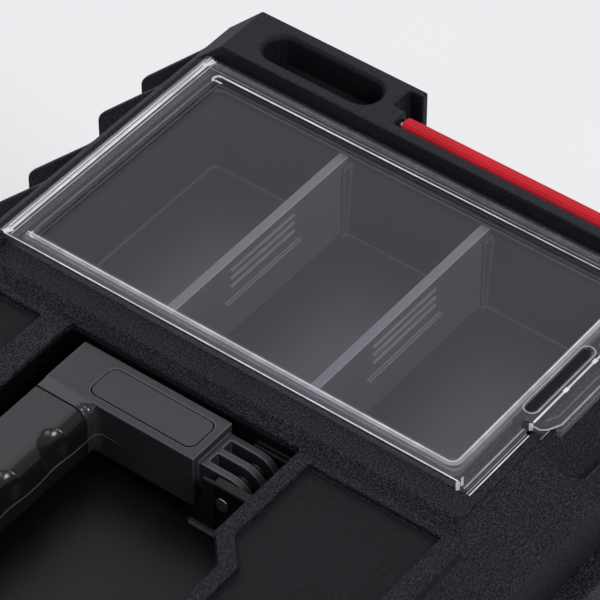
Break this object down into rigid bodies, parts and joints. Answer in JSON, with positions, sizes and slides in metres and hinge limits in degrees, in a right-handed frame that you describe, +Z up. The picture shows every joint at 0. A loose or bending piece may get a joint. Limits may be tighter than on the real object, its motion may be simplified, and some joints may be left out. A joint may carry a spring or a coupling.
{
  "type": "toolbox",
  "caption": "Plastic toolbox with a hinged lid that holds removable organizer bins under clear hinged covers, a folding carry handle, end handles and front latches.",
  "frame": {"origin": "centre of the bounding box, on the plane that the feet stand on", "axes": "+X along the toolbox's length, +Y from the latches towards the hinge at the back, +Z up"},
  "size_m": [0.506, 0.2918, 0.24],
  "materials": {
    "black_plastic": "fine grained black moulding",
    "handle_plastic": "semi-gloss dark grey moulding",
    "bin_plastic": "smooth dark grey moulding",
    "clear_plastic": "clear moulded polycarbonate",
    "red_plastic": "red moulding",
    "steel": "plain drawn rod"
  },
  "bodies": {
    "tub": {"tub_shell": "black_plastic", "hinge_rod": "steel"},
    "lid": {"lid_shell": "black_plastic", "handle_pin_right": "steel", "handle_pin_left": "steel", "organizer_bin_right": "bin_plastic", "organizer_bin_left": "bin_plastic", "divider_back_right": "bin_plastic", "divider_back_left": "bin_plastic", "divider_front_right": "bin_plastic", "divider_front_left": "bin_plastic", "cover_rod_right": "steel", "cover_rod_left": "steel", "end_rod_right": "steel", "end_rod_left": "steel", "latch_rod_right": "steel", "latch_rod_left": "steel"},
    "carry_handle": {"handle_frame": "handle_plastic", "handle_grip": "handle_plastic", "handle_inlay_right": "handle_plastic", "handle_inlay_left": "handle_plastic"},
    "cover_right": {"organizer_cover_right": "clear_plastic"},
    "cover_left": {"organizer_cover_left": "clear_plastic"},
    "end_handle_right": {"end_handle_right": "red_plastic"},
    "end_handle_left": {"end_handle_left": "red_plastic"},
    "latch_right": {"front_latch_right": "black_plastic"},
    "latch_left": {"front_latch_left": "black_plastic"}
  },
  "joints": [
    {"name": "lid_hinge", "type": "hinge", "parent": "tub", "child": "lid", "pos_m": [0, 0.1359, 0.178], "axis": [-1, 0, 0], "range_deg": [0, 105]},
    {"name": "carry_handle_pivot", "type": "hinge", "parent": "lid", "child": "carry_handle", "pos_m": [0, -0.028, 0.2103], "axis": [1, 0, 0], "range_deg": [0, 90]},
    {"name": "cover_hinge_right", "type": "hinge", "parent": "lid", "child": "cover_right", "pos_m": [0.16395, 0.1031, 0.2321], "axis": [-1, 0, 0], "range_deg": [0, 110]},
    {"name": "cover_hinge_left", "type": "hinge", "parent": "lid", "child": "cover_left", "pos_m": [-0.16395, 0.1031, 0.2321], "axis": [-1, 0, 0], "range_deg": [0, 110]},
    {"name": "end_handle_pivot_right", "type": "hinge", "parent": "lid", "child": "end_handle_right", "pos_m": [0.2342, -0.02885, 0.2361], "axis": [0, -1, 0], "range_deg": [0, 90]},
    {"name": "end_handle_pivot_left", "type": "hinge", "parent": "lid", "child": "end_handle_left", "pos_m": [-0.2342, -0.02885, 0.2361], "axis": [0, 1, 0], "range_deg": [0, 90]},
    {"name": "latch_pivot_right", "type": "hinge", "parent": "lid", "child": "latch_right", "pos_m": [0.062, -0.13695, 0.198], "axis": [-1, 0, 0], "range_deg": [0, 100]},
    {"name": "latch_pivot_left", "type": "hinge", "parent": "lid", "child": "latch_left", "pos_m": [-0.062, -0.13695, 0.198], "axis": [-1, 0, 0], "range_deg": [0, 100]}
  ]
}
